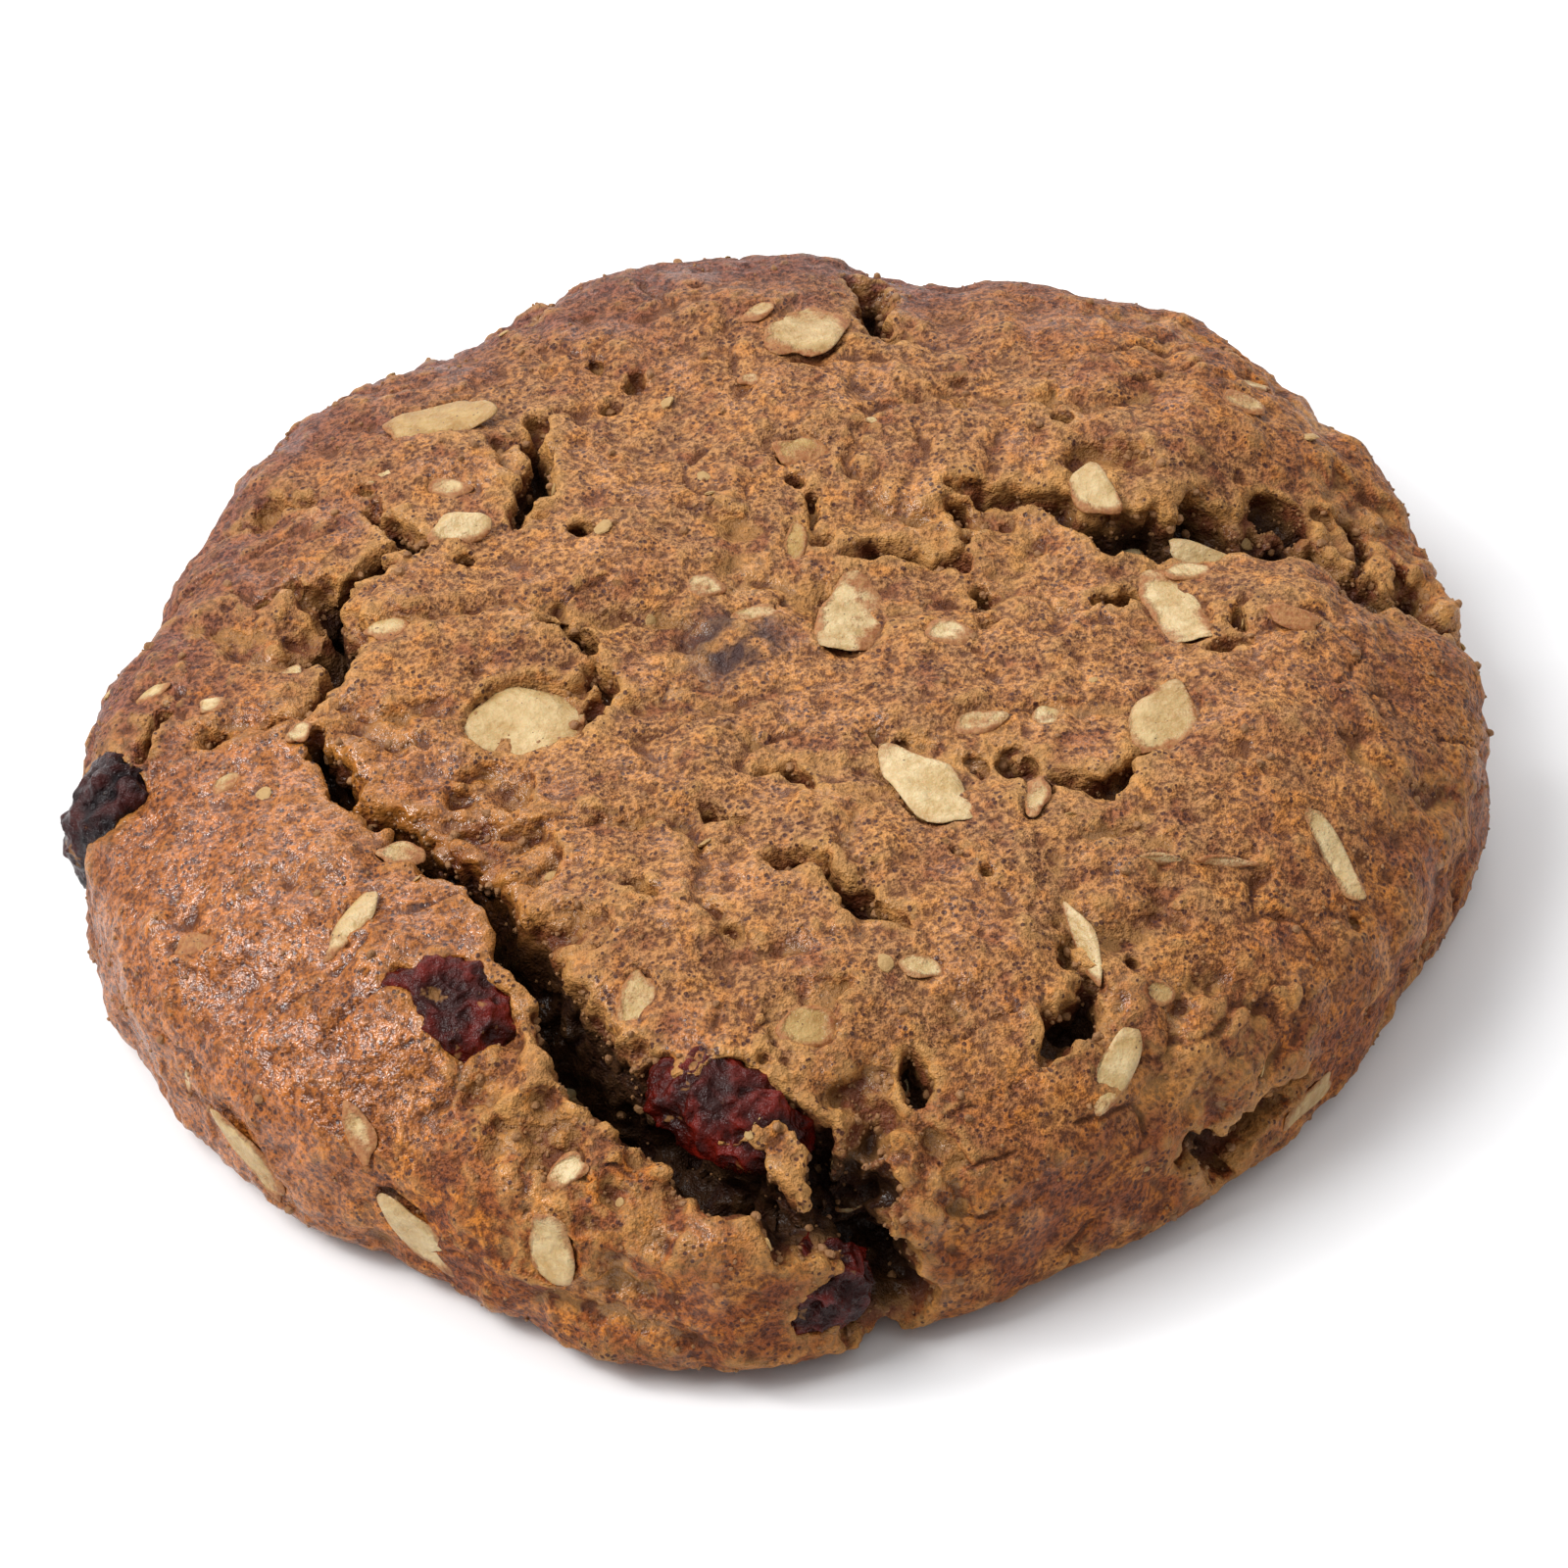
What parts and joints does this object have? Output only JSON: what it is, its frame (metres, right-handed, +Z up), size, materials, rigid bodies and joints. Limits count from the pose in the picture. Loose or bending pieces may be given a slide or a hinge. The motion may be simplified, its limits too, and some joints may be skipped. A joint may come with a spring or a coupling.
{
  "type": "oatmeal cookie",
  "caption": "Thick round oatmeal cookie with a cracked crust, rolled oats in its surface and dried fruit in pockets of the dough.",
  "frame": {"origin": "middle of the flat underside, on the surface the cookie lies on", "axes": "+Z up through the cookie's thickness, -Y towards the open notch at its front rim, +X towards its right"},
  "size_m": [0.0854, 0.0885, 0.0182],
  "materials": {
    "dough": "baked crust, satin where the dough was wet",
    "raisin": "wrinkled glossy skin",
    "cranberry": "wrinkled glossy skin"
  },
  "bodies": {
    "root": {"dough": "dough", "raisin_rim": "raisin", "raisin_crack": "raisin", "cranberry_lobe": "cranberry", "cranberry_front": "cranberry", "cranberry_notch": "cranberry"}
  },
  "joints": []
}
